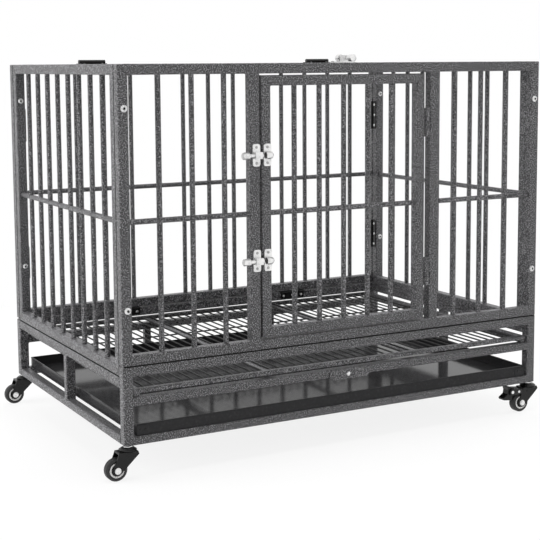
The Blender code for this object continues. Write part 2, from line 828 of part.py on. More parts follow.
def latch_tab(front_frame):
    """Flat tab on the middle rail, turned level at rest so both slots are free."""
    z = BASE + TAB_HEIGHT
    pivot = Vector((0, FRONT, z))
    half = TAB_WIDTH / 2
    short = TAB_LENGTH - TAB_LONG_ARM
    points = arc((TAB_LONG_ARM - half, 0), half, -90, 90, 8)
    points += arc((half - short, 0), half, 90, 270, 8)
    frame = latch_frame(pivot, (1, 0, 0), (0, -1, 0))
    obj = sheet("latch_tab", points, SEAT, SEAT + TAB_THICK, frame, HAMMERTONE, pivot)
    bore = TAB_SCREW_SHANK + HOLE_CLEAR
    for target, name, depth in (
        (obj, "latch_tab_hole", FRONT + OVER),
        (front_frame, "mid_rail_screw_hole", FRONT + TAB_SCREW_BITE + OVER),
    ):
        hole = bmesh.new()
        add_rod(hole, "y", (0, FRONT - 2 * TAB_THICK, z), depth, bore, SMALL_ROUND)
        cut(target, name, hole)
    seat = 2 * SEAT + TAB_THICK
    rows = [
        (0, TAB_SCREW_BITE), (TAB_SCREW_SHANK, TAB_SCREW_BITE), (TAB_SCREW_SHANK, -seat),
        (TAB_SCREW_HEAD, -seat), (TAB_SCREW_HEAD * 0.85, -seat - 0.0016),
        (TAB_SCREW_HEAD * 0.5, -seat - 0.0026), (0, -seat - 0.0029),
    ]
    turned("latch_tab_screw", rows, pivot, "y", ZINC, sides=SMALL_ROUND)


# Casters


def fork_points():
    """Side outline of a fork: x from the stem, y as height above the floor."""
    top = BASE - SEAT - NUT_HEIGHT - RACE_HEIGHT - SEAT
    points = [(0.0175, top - 0.0055), (0.0155, top), (-0.0205, top)]
    points.append((-0.0225, top - 0.006))
    return points + arc((-TRAIL, WHEEL_RADIUS), FORK_END, 165, 325, 6), top


def caster_stem(name, x, y):
    """Stem with nut, bearing dome and king pin, fixed up inside the post."""
    under = BASE - SEAT
    race = under - NUT_HEIGHT
    fork_top = race - RACE_HEIGHT - SEAT
    head = fork_top - FORK_TOP - SEAT
    rows = [
        (0, BASE + STEM_LENGTH), (STEM_RADIUS, BASE + STEM_LENGTH),
        (STEM_RADIUS, under), (NUT_RADIUS, under), (NUT_RADIUS, race),
        (RACE_RADIUS - 0.004, race - 0.0006), (RACE_RADIUS, race - RACE_HEIGHT * 0.6),
        (RACE_RADIUS - 0.001, fork_top + SEAT), (KING_RADIUS, fork_top + SEAT),
        (KING_RADIUS, head), (KING_HEAD, head), (KING_HEAD - 0.0006, head - 0.0012),
        (0, head - 0.0012),
    ]
    turned(name, rows, (x, y, 0), "z", BLACK_STEEL)


def caster_fork(name, x, y, braked):
    """Swivel fork bent from one sheet, with the brake's cross pin if it has one."""
    points, top = fork_points()
    pivot = (x, y, top)
    half = WHEEL_WIDTH / 2 + FORK_GAP + FORK_SHEET
    frame = latch_frame((x, y, 0), (1, 0, 0), (0, -1, 0))
    obj = sheet(name, points, -half, half, frame, BLACK_STEEL, pivot)
    space = bmesh.new()
    inner = half - FORK_SHEET
    add_block(space, (x - 0.06, y - inner, 0), (x + 0.06, y + inner, top - FORK_TOP))
    cut(obj, name + "_space", space)
    r = RACE_RADIUS
    rows = [(0, 0), (r, 0), (r, -FORK_TOP * 0.6), (r - 0.003, -FORK_TOP + 0.0001)]
    rows.append((0, -FORK_TOP + 0.0001))
    boolean(obj, "UNION", turned(name + "_disc", rows, pivot, "z"))
    bores = bmesh.new()
    start = (x - TRAIL, y - half - OVER, WHEEL_RADIUS)
    add_rod(bores, "y", start, y + half + OVER, AXLE_RADIUS + HOLE_CLEAR, SMALL_ROUND)
    king = KING_RADIUS + HOLE_CLEAR
    add_rod(bores, "z", (x, y, top - FORK_TOP - OVER), top + OVER, king, SMALL_ROUND)
    cut(obj, name + "_bores", bores)
    if braked:
        pin = bmesh.new()
        start = (x + BRAKE_PIVOT[0], y - half - OVER, BRAKE_PIVOT[1])
        add_rod(pin, "y", start, y + half + OVER, BRAKE_PIN, 12)
        weld(obj, name + "_brake_pin", pin)
    return obj


def caster_wheel(corner, x, y, fork):
    """Rubber tyre bonded to its hub, and the axle bolt through both cheeks."""
    centre = (x - TRAIL, y, WHEEL_RADIUS)
    half = WHEEL_WIDTH / 2
    face, r, e = half - 0.0012, WHEEL_RADIUS, TYRE_EDGE
    bore = AXLE_RADIUS + HOLE_CLEAR
    dish = face - HUB_DISH
    side = [
        (bore, half), (HUB_BOSS, half), (HUB_BOSS, dish), (HUB_RADIUS - 0.003, dish),
        (HUB_RADIUS - 0.002, face), (r - e, half), (r, half - e),
    ]
    rows = side + [(radius, -z) for radius, z in reversed(side)]
    wheel = turned(corner + "_wheel", rows, centre, "y", TYRE_RUBBER, True)
    reach = half + FORK_GAP + FORK_SHEET + SEAT
    tip = reach + AXLE_HEAD_HEIGHT
    rows = [
        (0, tip), (AXLE_HEAD, tip), (AXLE_HEAD, reach), (AXLE_RADIUS, reach),
        (AXLE_RADIUS, -reach), (AXLE_HEAD, -reach), (AXLE_HEAD, -tip), (0, -tip),
    ]
    axle = turned(corner + "_axle_bolt", rows, centre, "y", ZINC, sides=SMALL_ROUND)
    for piece in (wheel, axle):
        attach(piece, fork)


def brake_pedal(name, x, y, fork):
    """Foot brake that presses on the tyre when its tail is pushed down."""
    points = [
        (-0.0064, 0.0462), (-0.0105, 0.0478), (-0.0240, 0.0484), (-0.0300, 0.0515),
        (-0.0440, 0.0520), (-0.0560, 0.0585), (-0.0610, 0.0580), (-0.0580, 0.0500),
        (-0.0590, 0.0420), (-0.0705, 0.0340), (-0.0690, 0.0305), (-0.0485, 0.0280),
        (-0.0460, 0.0380), (-0.0420, 0.0428), (-0.0245, 0.0430), (-0.0120, 0.0405),
        (-0.0070, 0.0412),
    ]
    half = BRAKE_WIDTH / 2
    pivot = (x + BRAKE_PIVOT[0], y, BRAKE_PIVOT[1])
    frame = latch_frame((x, y, 0), (1, 0, 0), (0, -1, 0))
    obj = sheet(name, points, -half, half, frame, BLACK_STEEL, pivot)
    bore = bmesh.new()
    start = (pivot[0], y - half - OVER, pivot[2])
    add_rod(bore, "y", start, y + half + OVER, BRAKE_PIN + HOLE_CLEAR, 12)
    cut(obj, name + "_bore", bore)
    attach(obj, fork)


def build_casters(front_frame, back_frame):
    """Four trailing casters; the right-hand pair have foot brakes."""
    for frame, end, y in (
        (front_frame, "front", FRONT + POST_INSET), (back_frame, "back", BACK - POST_INSET)
    ):
        holes = bmesh.new()
        for side, x in (("left", LEFT + POST_INSET), ("right", RIGHT - POST_INSET)):
            braked = side == "right"
            corner = end + "_" + side
            top = BASE + STEM_LENGTH + OVER
            add_rod(holes, "z", (x, y, BASE - OVER), top, STEM_RADIUS + HOLE_CLEAR, SMALL_ROUND)
            caster_stem(corner + "_caster_stem", x, y)
            fork = caster_fork(corner + "_fork", x, y, braked)
            caster_wheel(corner, x, y, fork)
            if braked:
                brake_pedal(corner + "_brake_pedal", x, y, fork)
        cut(frame, frame.name + "_stem_holes", holes)


def centre_on_floor():
    """Move everything sideways so that the origin is under the middle of the cage."""
    bpy.context.view_layer.update()
    graph = bpy.context.evaluated_depsgraph_get()
    shapes = [obj.evaluated_get(graph) for obj in parts.objects]
    corners = [
        shape.matrix_world @ Vector(corner) for shape in shapes for corner in shape.bound_box
    ]
    move = Vector((0, 0, 0))
    for run in (0, 1):
        reach = [corner[run] for corner in corners]
        move[run] = -(min(reach) + max(reach)) / 2
    for obj in bpy.data.objects:
        if obj.parent is None:
            obj.location += move


def build():
    """Put the whole cage together."""
    base = base_front(), base_back()
    base_back_posts()
    base_side("base_left_frame", LEFT, LEFT + TUBE)
    base_side("base_right_frame", RIGHT, RIGHT - TUBE)
    front = front_wall()
    back_wall()
    side_wall("left_panel", LEFT, LEFT + TUBE)
    side_wall("right_panel", RIGHT, RIGHT - TUBE)
    door = door_panel()
    lid = lid_panel()
    for level, height in DOOR_HINGES.items():
        door_hinge(level, height, front, door)
    seam = door_edges()[0] - DOOR_GAP_LATCH / 2
    for level, height in DOOR_LATCHES.items():
        frame = latch_frame((seam, FRONT, BASE + height), (1, 0, 0), (0, -1, 0))
        slide_latch(level, frame, DOOR_GAP_LATCH / 2, "x", door)
    seam = FRONT + TUBE + LID_CLEAR / 2
    frame = latch_frame((LID_LATCH_X, seam, TOP), (0, 1, 0), (0, 0, 1))
    slide_latch("lid", frame, LID_CLEAR / 2, "y", lid)
    for side, x in (("left", LEFT + LID_HINGE_INSET), ("right", RIGHT - LID_HINGE_INSET)):
        lid_hinge(side, x, lid)
    for side, sign in (("left", -1), ("right", 1)):
        for level, height in CORNER_HINGES.items():
            corner_hinge(level + "_" + side + "_corner_hinge", sign, height)
        fold_hinge(side + "_fold_hinge", sign * (RIGHT - FOLD_HINGE_INSET))
    tray()
    floor_grate()
    latch_tab(base[0])
    build_casters(*base)
    centre_on_floor()


build()
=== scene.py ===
"""Looks for the dog cage: paints, plating, fasteners, floor, light and camera."""

import json
import math

import bmesh
import bpy
from mathutils import Matrix, Vector

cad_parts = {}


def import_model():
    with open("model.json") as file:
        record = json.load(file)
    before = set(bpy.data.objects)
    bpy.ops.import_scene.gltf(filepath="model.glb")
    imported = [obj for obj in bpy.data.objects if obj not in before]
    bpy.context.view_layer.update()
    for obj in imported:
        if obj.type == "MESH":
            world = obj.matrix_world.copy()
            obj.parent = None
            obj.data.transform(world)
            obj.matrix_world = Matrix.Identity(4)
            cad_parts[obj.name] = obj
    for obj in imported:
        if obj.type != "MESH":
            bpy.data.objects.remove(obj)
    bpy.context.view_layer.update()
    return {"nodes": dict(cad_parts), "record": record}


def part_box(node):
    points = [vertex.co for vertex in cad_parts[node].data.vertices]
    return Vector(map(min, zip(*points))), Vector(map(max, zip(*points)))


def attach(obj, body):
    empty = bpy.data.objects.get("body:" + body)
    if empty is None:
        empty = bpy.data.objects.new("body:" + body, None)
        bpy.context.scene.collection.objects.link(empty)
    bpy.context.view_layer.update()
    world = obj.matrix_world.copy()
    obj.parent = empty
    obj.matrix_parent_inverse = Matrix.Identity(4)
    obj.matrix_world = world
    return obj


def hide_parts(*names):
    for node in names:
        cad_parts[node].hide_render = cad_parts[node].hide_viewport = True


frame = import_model()
nodes = frame["nodes"]

# Main sizes in metres, read from the frame
front_low, front_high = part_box("base_front_frame")
back_low, back_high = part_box("back_panel")
SIDE = (back_high.x - back_low.x) / 2
BACK = (back_high.y - front_low.y) / 2
FRONT = -BACK
TUBE = front_high.y - front_low.y

# The added pieces are placed about the middle of the cage's own body.
HOME = Matrix.Translation(((back_low.x + back_high.x) / 2, back_high.y - BACK, 0.0))

# The caster stems' axes, in the middle of the corner tubes
CORNERS = {
    end + "_" + hand: (side * (SIDE - TUBE / 2), depth * (BACK - TUBE / 2))
    for end, depth in (("front", -1), ("back", 1))
    for hand, side in (("left", -1), ("right", 1))
}

# How far the door's hinge barrels reach past the side of its frame
BARREL_REACH = 0.0118

# Fasteners start a little below the face that they stand on.
SUNK = 0.0001


# Materials


class Shader:
    """A Principled material with a few helpers for adding texture nodes."""

    def __init__(self, name, metallic=0.0, specular=0.5):
        self.material = bpy.data.materials.new(name)
        self.material.use_nodes = True
        self.tree = self.material.node_tree
        self.main = self.tree.nodes["Principled BSDF"]
        self.main.inputs["Metallic"].default_value = metallic
        self.main.inputs["Specular IOR Level"].default_value = specular
        self.place = self.add("ShaderNodeTexCoord").outputs["Object"]

    def add(self, kind, **settings):
        node = self.tree.nodes.new(kind)
        for key, value in settings.items():
            setattr(node, key, value)
        return node

    def join(self, source, target):
        self.tree.links.new(source, target)

    def noise(self, scale, detail, stretch=None):
        node = self.add("ShaderNodeTexNoise")
        node.inputs["Scale"].default_value = scale
        node.inputs["Detail"].default_value = detail
        self.join(self.stretched(stretch), node.inputs["Vector"])
        return node.outputs["Fac"]

    def stretched(self, stretch):
        if stretch is None:
            return self.place
        node = self.add("ShaderNodeMapping")
        node.inputs["Scale"].default_value = stretch
        self.join(self.place, node.inputs["Vector"])
        return node.outputs["Vector"]

    def cells(self, scale):
        node = self.add("ShaderNodeTexVoronoi", feature="SMOOTH_F1")
        node.inputs["Scale"].default_value = scale
        self.join(self.place, node.inputs["Vector"])
        return node.outputs["Distance"]

    def ramp(self, source, stops):
        node = self.add("ShaderNodeValToRGB")
        band = node.color_ramp
        while len(band.elements) < len(stops):
            band.elements.new(0.5)
        for element, (position, colour) in zip(band.elements, stops):
            element.position = position
            element.color = (*colour, 1.0)
        self.join(source, node.inputs["Fac"])
        return node.outputs["Color"]

    def span(self, source, low, high, start=0.0, end=1.0):
        """Map a source that runs from start to end onto low to high."""
        node = self.add("ShaderNodeMapRange")
        node.inputs["From Min"].default_value = start
        node.inputs["From Max"].default_value = end
        node.inputs["To Min"].default_value = low
        node.inputs["To Max"].default_value = high
        self.join(source, node.inputs["Value"])
        return node.outputs["Result"]

    def tint(self, first, second):
        node = self.add("ShaderNodeMix", data_type="RGBA", blend_type="MULTIPLY")
        node.inputs["Factor"].default_value = 1.0
        self.join(first, node.inputs["A"])
        self.join(second, node.inputs["B"])
        return node.outputs["Result"]

    def bump(self, height, strength, distance, under=None):
        node = self.add("ShaderNodeBump")
        node.inputs["Strength"].default_value = strength
        node.inputs["Distance"].default_value = distance
        self.join(height, node.inputs["Height"])
        if under is not None:
            self.join(under, node.inputs["Normal"])
        return node.outputs["Normal"]

    def calculate(self, operation, first, second):
        node = self.add("ShaderNodeMath", operation=operation)
        self.join(first, node.inputs[0])
        self.join(second, node.inputs[1])
        return node.outputs[0]

    def coat(self, colour, roughness, relief):
        """Join the textures to the surface and hand the material back."""
        self.join(colour, self.main.inputs["Base Color"])
        self.join(roughness, self.main.inputs["Roughness"])
        self.join(relief, self.main.inputs["Normal"])
        return self.material


def grey(value, warm=0.0):
    """A near-neutral colour."""
    return (value * (1 + warm), value, value * (1 - warm))


def charcoal(value):
    """A grey with a breath of violet."""
    return (value, value * 0.99, value * 1.03)


def hammertone(name):
    """Silver-vein hammered paint: pale veins round small dark dimples."""
    paint = Shader(name, metallic=0.1)
    dimples = paint.cells(scale=520.0)
    flakes = paint.noise(scale=500.0, detail=1.0)
    patches = paint.noise(scale=9.0, detail=2.0)
    fleck = paint.ramp(flakes, [
        (0.37, charcoal(0.016)), (0.47, charcoal(0.046)),
        (0.54, charcoal(0.105)), (0.65, charcoal(0.31)),
    ])
    web = paint.ramp(dimples, [(0.1, grey(0.7)), (0.45, grey(1.0)), (0.8, grey(1.35))])
    wide = paint.ramp(patches, [(0.3, grey(0.9)), (0.7, grey(1.06))])
    relief = paint.bump(dimples, strength=0.35, distance=0.0004)
    return paint.coat(
        paint.tint(paint.tint(fleck, web), wide),
        paint.span(flakes, 0.36, 0.5),
        paint.bump(flakes, strength=0.15, distance=0.0002, under=relief),
    )


def black_paint(name, value, roughness, spread):
    """Plain dark coating with a faint orange-peel."""
    paint = Shader(name, specular=0.3)
    patches = paint.noise(scale=14.0, detail=3.0)
    peel = paint.noise(scale=420.0, detail=2.0)
    return paint.coat(
        paint.ramp(patches, [(0.3, grey(value * 0.8)), (0.7, grey(value * 1.25))]),
        paint.span(patches, roughness - spread, roughness + spread, start=0.3, end=0.7),
        paint.bump(peel, strength=0.12, distance=0.0003),
    )


def bright_plate(name, value):
    """Bright zinc plate, slightly cloudy and finely scratched."""
    paint = Shader(name, metallic=1.0)
    cloud = paint.noise(scale=120.0, detail=3.0)
    scratches = paint.noise(scale=900.0, detail=2.0, stretch=(1.0, 1.0, 0.15))
    return paint.coat(
        paint.ramp(cloud, [
            (0.3, grey(value * 0.8)), (0.5, grey(value)), (0.7, grey(value * 1.12, 0.01)),
        ]),
        paint.span(cloud, 0.22, 0.36, start=0.3, end=0.7),
        paint.bump(scratches, strength=0.15, distance=0.0002),
    )


def tray_coat(name):
    """Black coated sheet: a clear sheen with long ripples and light dust."""
    paint = Shader(name, specular=0.13)
    ripple = paint.noise(scale=5.0, detail=1.0)
    dust = paint.noise(scale=190.0, detail=4.0)
    return paint.coat(
        paint.ramp(dust, [
            (0.45, charcoal(0.028)), (0.62, charcoal(0.033)), (0.8, charcoal(0.046)),
        ]),
        paint.span(dust, 0.08, 0.15, start=0.35, end=0.75),
        paint.bump(ripple, strength=0.08, distance=0.002),
    )


def rubber(name):
    """Satin black rubber with a fine moulded grain."""
    paint = Shader(name)
    grain = paint.noise(scale=700.0, detail=2.0)
    patches = paint.noise(scale=40.0, detail=2.0)
    return paint.coat(
        paint.ramp(patches, [(0.3, grey(0.010)), (0.7, grey(0.020))]),
        paint.span(grain, 0.48, 0.66),
        paint.bump(grain, strength=0.2, distance=0.0003),
    )


def pale_plastic(name):
    """Moulded off-white nylon."""
    paint = Shader(name)
    cloud = paint.noise(scale=90.0, detail=2.0)
    return paint.coat(
        paint.ramp(cloud, [(0.3, grey(0.84, 0.01)), (0.7, grey(0.92, 0.01))]),
        paint.span(cloud, 0.32, 0.5, start=0.3, end=0.7),
        paint.bump(cloud, strength=0.1, distance=0.0003),
    )


HAMMERTONE = hammertone("hammertone_paint")
WELD = black_paint("painted_weld", 0.045, roughness=0.45, spread=0.06)
BLACK = black_paint("black_plated_steel", 0.006, roughness=0.26, spread=0.06)
# The grate wires' paint is darkened as painted shade, for the shade they lie in under the
# lid and inside the walls.
WIRE = black_paint("grate_wire_paint_and_shade", 0.016, roughness=0.5, spread=0.08)
# Painted shade: a near-black matte coat for the shadow in the gaps between the walls and the
# base.
SEAM_SHADE = black_paint("seam_shadow", 0.004, roughness=0.85, spread=0.05)
ZINC = bright_plate("bright_zinc_plate", 0.8)
RIVET = bright_plate("dull_rivet_steel", 0.38)
TRAY = tray_coat("gloss_black_tray")
RUBBER = rubber("tyre_rubber")
NYLON = pale_plastic("white_nylon")
SURFACES = {
    "hammertone_grey": HAMMERTONE,
    "black_steel": BLACK,
    "bright_zinc": ZINC,
    "tray_black": TRAY,
    "tyre_rubber": RUBBER,
}

for entry in frame["record"]["subparts"]:
    mesh = nodes[entry["node"]].data
    mesh.materials.clear()
    mesh.materials.append(SURFACES[entry["material_slot"]])


# Places and shapes


def at_home(node):
    """A node's box about the middle of the cage's own body."""
    return [HOME.inverted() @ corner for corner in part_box(node)]


def middle(node):
    """The middle of a node's box, about the middle of the cage's own body."""
    low, high = at_home(node)
    return (low + high) / 2


def aim(at, normal):
    """A matrix that stands a piece on a surface at a point."""
    turn = Vector(normal).to_track_quat("Z", "Y").to_matrix().to_4x4()
    return Matrix.Translation(at) @ turn


def skin(bm, rows, joined=False):
    """Face a row of equal outlines; it closes on itself if joined, else it is capped."""
    made = [[bm.verts.new(point) for point in row] for row in rows]
    following = made[1:] + made[:1] if joined else made[1:]
    for near, far in zip(made, following):
        for k in range(len(near)):
            j = (k + 1) % len(near)
            bm.faces.new((near[k], near[j], far[j], far[k]))
    if not joined:
        bm.faces.new(made[0])
        bm.faces.new(made[-1])


def turned(bm, rings, matrix, sides, joined=False):
    """Skin rings round a matrix's Z axis; a ring gives (radius, height) for each side."""
    rows = []
    for ring in rings:
        row = []
        for k in range(sides):
            radius, height = ring(k)
            angle = 2 * math.pi * k / sides
            place = Vector((radius * math.cos(angle), radius * math.sin(angle), height))
            row.append(matrix @ place)
        rows.append(row)
    skin(bm, rows, joined)


def round_ring(radius, height):
    """A round ring."""
    return lambda k: (radius, height)


def hex_ring(flat, height):
    """A six-sided ring of 24 points; flat is half the width across two flats."""
    spread = (0.0, math.pi / 12, math.pi / 6, math.pi / 12)
    return lambda k: (flat / math.cos(spread[k % 4]), height)


def hoop(bm, low, high, level, section):
    """Carry a section of (out, up) round a level rectangle with mitred corners."""
    corners = (
        (low.x, low.y, -1, -1), (high.x, low.y, 1, -1),
        (high.x, high.y, 1, 1), (low.x, high.y, -1, 1),
    )
    rows = [
        [(x + sx * out, y + sy * out, level + up) for out, up in section]
        for x, y, sx, sy in corners
    ]
    skin(bm, rows, joined=True)


def prism(bm, start, end, normal, section):
    """Carry a section of (side, up) along a straight line; up follows the normal."""
    start, end, normal = Vector(start), Vector(end), Vector(normal)
    side = normal.cross(end - start).normalized()
    skin(bm, [
        [place + side * across + normal * up for across, up in section]
        for place in (start, end)
    ])


def circle(radius, sides, across=0.0):
    """A round section."""
    turns = [2 * math.pi * (k + 0.5) / sides for k in range(sides)]
    return [(across + radius * math.cos(turn), radius * math.sin(turn)) for turn in turns]


def rounded(width, height, radius, across=0.0):
    """A rectangular section with rounded corners, from its middle."""
    section = []
    for quarter, (sx, sy) in enumerate(((1, 1), (-1, 1), (-1, -1), (1, -1))):
        for step in range(4):
            turn = math.pi / 2 * (quarter + step / 3)
            section.append((
                across + sx * (width / 2 - radius) + radius * math.cos(turn),
                sy * (height / 2 - radius) + radius * math.sin(turn),
            ))
    return section


def finish_piece(name, bm, surface, body, smooth=35):
    """Turn the mesh into a piece that rides on a body."""
    bmesh.ops.recalc_face_normals(bm, faces=bm.faces)
    mesh = bpy.data.meshes.new(name)
    bm.to_mesh(mesh)
    bm.free()
    mesh.transform(HOME)
    mesh.materials.append(surface)
    mesh.shade_smooth()
    mesh.set_sharp_from_angle(angle=math.radians(smooth))
    obj = bpy.data.objects.new(name, mesh)
    bpy.context.scene.collection.objects.link(obj)
    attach(obj, body)
    return obj


# Heads of screws, rivets and bolts


def rivet_head(bm, at, normal, radius, height):
    """A low domed rivet head."""
    dome = ((1.0, 0.25), (0.9, 0.62), (0.68, 0.88), (0.38, 0.98), (0.12, 1.0))
    rings = [round_ring(radius, -SUNK)]
    rings += [round_ring(radius * share, height * rise) for share, rise in dome]
    turned(bm, rings, aim(at, normal), 20)


def screw_head(bm, at, normal, radius, height, turn):
    """A domed screw head with a cross recess."""

    def cross(long_arm, short_arm, level):
        reach = (long_arm, long_arm * 0.96, short_arm, short_arm, short_arm, long_arm * 0.96)
        return lambda k: (radius * reach[k % 6], height * level)

    dome = ((1.0, 0.2), (0.93, 0.58), (0.78, 0.86), (0.6, 0.98))
    rings = [round_ring(radius, -SUNK)]
    rings += [round_ring(radius * share, height * rise) for share, rise in dome]
    rings += [cross(0.5, 0.17, 1.0), cross(0.46, 0.15, 0.35), cross(0.1, 0.05, 0.2)]
    turned(bm, rings, aim(at, normal) @ Matrix.Rotation(turn, 4, "Z"), 24)


def cap_head(heads, socket_shadows, at, radius, turn):
    """A button head facing the front, with a six-sided socket and a black slab low in it as
    painted shade.
    """
    matrix = aim(at, (0, -1, 0)) @ Matrix.Rotation(turn, 4, "Z")
    dome = ((1.0, 0.0006), (0.96, 0.0015), (0.84, 0.0024), (0.7, 0.0028))
    rings = [round_ring(radius, -SUNK)]
    rings += [round_ring(radius * share, height) for share, height in dome]
    rings += [hex_ring(radius * 0.5, 0.0027), hex_ring(radius * 0.47, 0.0012)]
    turned(heads, rings, matrix, 24)
    # Painted shade: a black slab low in each socket stands in for its dark depth.
    bottom = radius * 0.44
    turned(socket_shadows, [hex_ring(bottom, 0.0011), hex_ring(bottom, 0.0015)], matrix, 24)


def hex_nut(bm, at, normal, radius, height):
    """A six-sided nut with a chamfer and a bolt end standing out of it."""
    flat = radius * 0.86
    rings = [
        hex_ring(flat, height * -0.05), hex_ring(flat, height * 0.8),
        round_ring(radius * 0.82, height), round_ring(radius * 0.5, height),
        round_ring(radius * 0.48, height * 1.35),
    ]
    turned(bm, rings, aim(at, normal), 24)


# Fasteners of the walls, hinges and latches


def wall_screws():
    """The bright screws that hold the four walls together at the corners."""
    heads, washers, socket_shadows = bmesh.new(), bmesh.new(), bmesh.new()
    low_row, high_row = 0.303, 0.6555
    front_x = SIDE - 0.011
    stile_x = SIDE - TUBE / 2
    stile_face = at_home("right_panel")[1].y - TUBE
    for side in (-1, 1):
        for height in (low_row, high_row):
            places = (
                ((side * front_x, FRONT, height), 0.005),
                ((side * stile_x, stile_face, height), 0.0045),
            )
            for at, radius in places:
                cap_head(heads, socket_shadows, at, radius, turn=0.4 + height * side)
                rings = [
                    round_ring(radius * 1.22, -SUNK), round_ring(radius * 1.22, 0.0005),
                    round_ring(radius * 1.1, 0.0008),
                ]
                turned(washers, rings, aim(at, (0, -1, 0)), 28)
    finish_piece("wall_screw_heads", heads, ZINC, "cage")
    finish_piece("wall_screw_washers", washers, ZINC, "cage")
    # Painted shade: the black slabs in the screw sockets.
    finish_piece("wall_screw_socket_shade", socket_shadows, BLACK, "cage")


def hinge_screws():
    """The screws in the leaves that show; flat ones where the lid's leaves fold together."""
    radius, height = 0.0031, 0.0011
    flat_radius, flat_height = 0.0027, 0.0004
    fold_rise, lid_reach = 0.0063, 0.00965
    fixed, moving = bmesh.new(), bmesh.new()
    for side, hand in ((-1, "left"), (1, "right")):
        side_face = side * (SIDE - TUBE - 0.0018)
        for level in ("lower", "upper"):
            leaf = level + "_" + hand + "_corner_hinge_side_leaf"
            edge = at_home(leaf)[0].y
            for shift in (-0.025, 0.0, 0.025):
                inset = 0.0054 if shift else 0.0044
                at = (side_face, edge + inset, middle(leaf).z + shift)
                screw_head(fixed, at, (-side, 0, 0), radius, height, turn=shift * 40)

        leaf = hand + "_fold_hinge_base_leaf"
        fold_face = BACK - TUBE - 0.0017
        foot = at_home(leaf)[0].z
        for shift in (-0.024, 0.0, 0.024):
            at = (middle(leaf).x + shift, fold_face, foot + fold_rise)
            screw_head(fixed, at, (0, -1, 0), radius, height, turn=1 + shift * 50)

        wall_low, wall_high = at_home(hand + "_lid_hinge_wall_leaf")
        lid_low, lid_high = at_home(hand + "_lid_hinge_lid_leaf")
        lid_face = lid_low.z + 0.0016
        pin = (wall_low.y + lid_high.y) / 2
        for shift in (-0.021, 0.021):
            for bm, way, spin in ((fixed, 1, 30), (moving, -1, 60)):
                x = (wall_low.x + wall_high.x) / 2 + shift
                at = (x, pin + way * lid_reach, lid_face)
                screw_head(bm, at, (0, 0, 1), flat_radius, flat_height, turn=shift * spin)
    finish_piece("hinge_screws", fixed, ZINC, "cage")
    finish_piece("lid_hinge_screws", moving, ZINC, "lid")


def latch_rivets():
    """Two rivets through each latch plate."""
    radius, height, spread, plate = 0.0026, 0.0013, 0.0145, 0.0015
    fixed, on_door, on_lid = bmesh.new(), bmesh.new(), bmesh.new()
    door_edge = at_home("door")[0].x
    columns = (
        (fixed, "_latch_body", door_edge - 0.012),
        (on_door, "_latch_keeper", door_edge + 0.0107),
    )
    for level in ("lower", "upper"):
        for bm, half, x in columns:
            node = level + half
            centre, face = middle(node), at_home(node)[1].y - plate
            for shift in (-spread, spread):
                rivet_head(bm, (x, face, centre.z + shift), (0, -1, 0), radius, height)
    for bm, node in ((fixed, "lid_latch_body"), (on_lid, "lid_latch_keeper")):
        centre, face = middle(node), at_home(node)[0].z + plate
        for shift in (-spread, spread):
            rivet_head(bm, (centre.x + shift, centre.y, face), (0, 0, 1), radius, height)
    finish_piece("latch_rivets", fixed, RIVET, "cage")
    finish_piece("door_keeper_rivets", on_door, RIVET, "door")
    finish_piece("lid_keeper_rivets", on_lid, RIVET, "lid")


# Casters

# Rivets of the brake's ears: distance from the stem's axis, height and radius
BRAKE_RIVETS = ((-0.0485, 0.0455, 0.0036), (-0.032, 0.0452, 0.0029))
EAR_INNER = 0.0098
EAR_OUTER = 0.0116


def stem_nuts():
    """The bright six-sided nuts that lock the caster stems under the base."""
    radius, foot, top, bevel = 0.0089, 0.0586, 0.0606, 0.0003
    nuts = bmesh.new()
    rings = [
        round_ring(radius * 0.9, foot), round_ring(radius, foot + bevel),
        round_ring(radius, top - bevel), round_ring(radius * 0.9, top),
    ]
    spin = Matrix.Rotation(0.1 * math.pi, 4, "Z")
    for x, y in CORNERS.values():
        turned(nuts, rings, Matrix.Translation((x, y, 0)) @ spin, 6)
    finish_piece("caster_stem_nuts", nuts, ZINC, "cage")


def wheel_trim(corner):
    """White hub rings and black bearing dust caps on both faces of a wheel."""
    wheel = corner + "_wheel"
    hub_face = 0.0059
    ring_section = (
        (0.0144, 0.0), (0.0144, 0.0012), (0.0140, 0.0018),
        (0.0110, 0.0018), (0.0104, 0.0012), (0.0104, 0.0),
    )
    cap_section = (
        (0.0103, 0.0), (0.0103, 0.0006), (0.0092, 0.0010), (0.0086, 0.0004),
        (0.0066, 0.0004), (0.0063, 0.0009), (0.0062, 0.0),
    )
    trim, caps = bmesh.new(), bmesh.new()
    for facing in (-1, 1):
        at = middle(wheel) + Vector((0, facing * hub_face, 0))
        matrix = aim(at, (0, facing, 0))
        for bm, section in ((trim, ring_section), (caps, cap_section)):
            turned(bm, [round_ring(*row) for row in section], matrix, 40, joined=True)
    finish_piece(corner + "_hub_rings", trim, NYLON, wheel)
    finish_piece(corner + "_dust_caps", caps, BLACK, wheel)


def axle_bolt(corner):
    """The axle bolt with a flanged six-sided head towards the front."""
    node = corner + "_axle_bolt"
    low, high = at_home(node)
    head_height = 0.0030
    centre = middle(node)
    at = (centre.x, low.y + head_height, centre.z)
    length = high.y - low.y - head_height
    rings = [
        round_ring(0.0029, -length), round_ring(0.0030, -SUNK),
        round_ring(0.0060, 0.0), round_ring(0.0060, 0.0005),
        hex_ring(0.0047, 0.0006), hex_ring(0.0047, 0.0026),
        round_ring(0.0045, head_height), round_ring(0.0022, head_height),
        round_ring(0.0018, 0.0026),
    ]
    bm = bmesh.new()
    turned(bm, rings, aim(at, (0, -1, 0)) @ Matrix.Rotation(0.35, 4, "Z"), 24)
    body = corner + "_caster"
    bolt = finish_piece(corner + "_hex_axle_bolt", bm, ZINC, body, smooth=20)
    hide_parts(node)


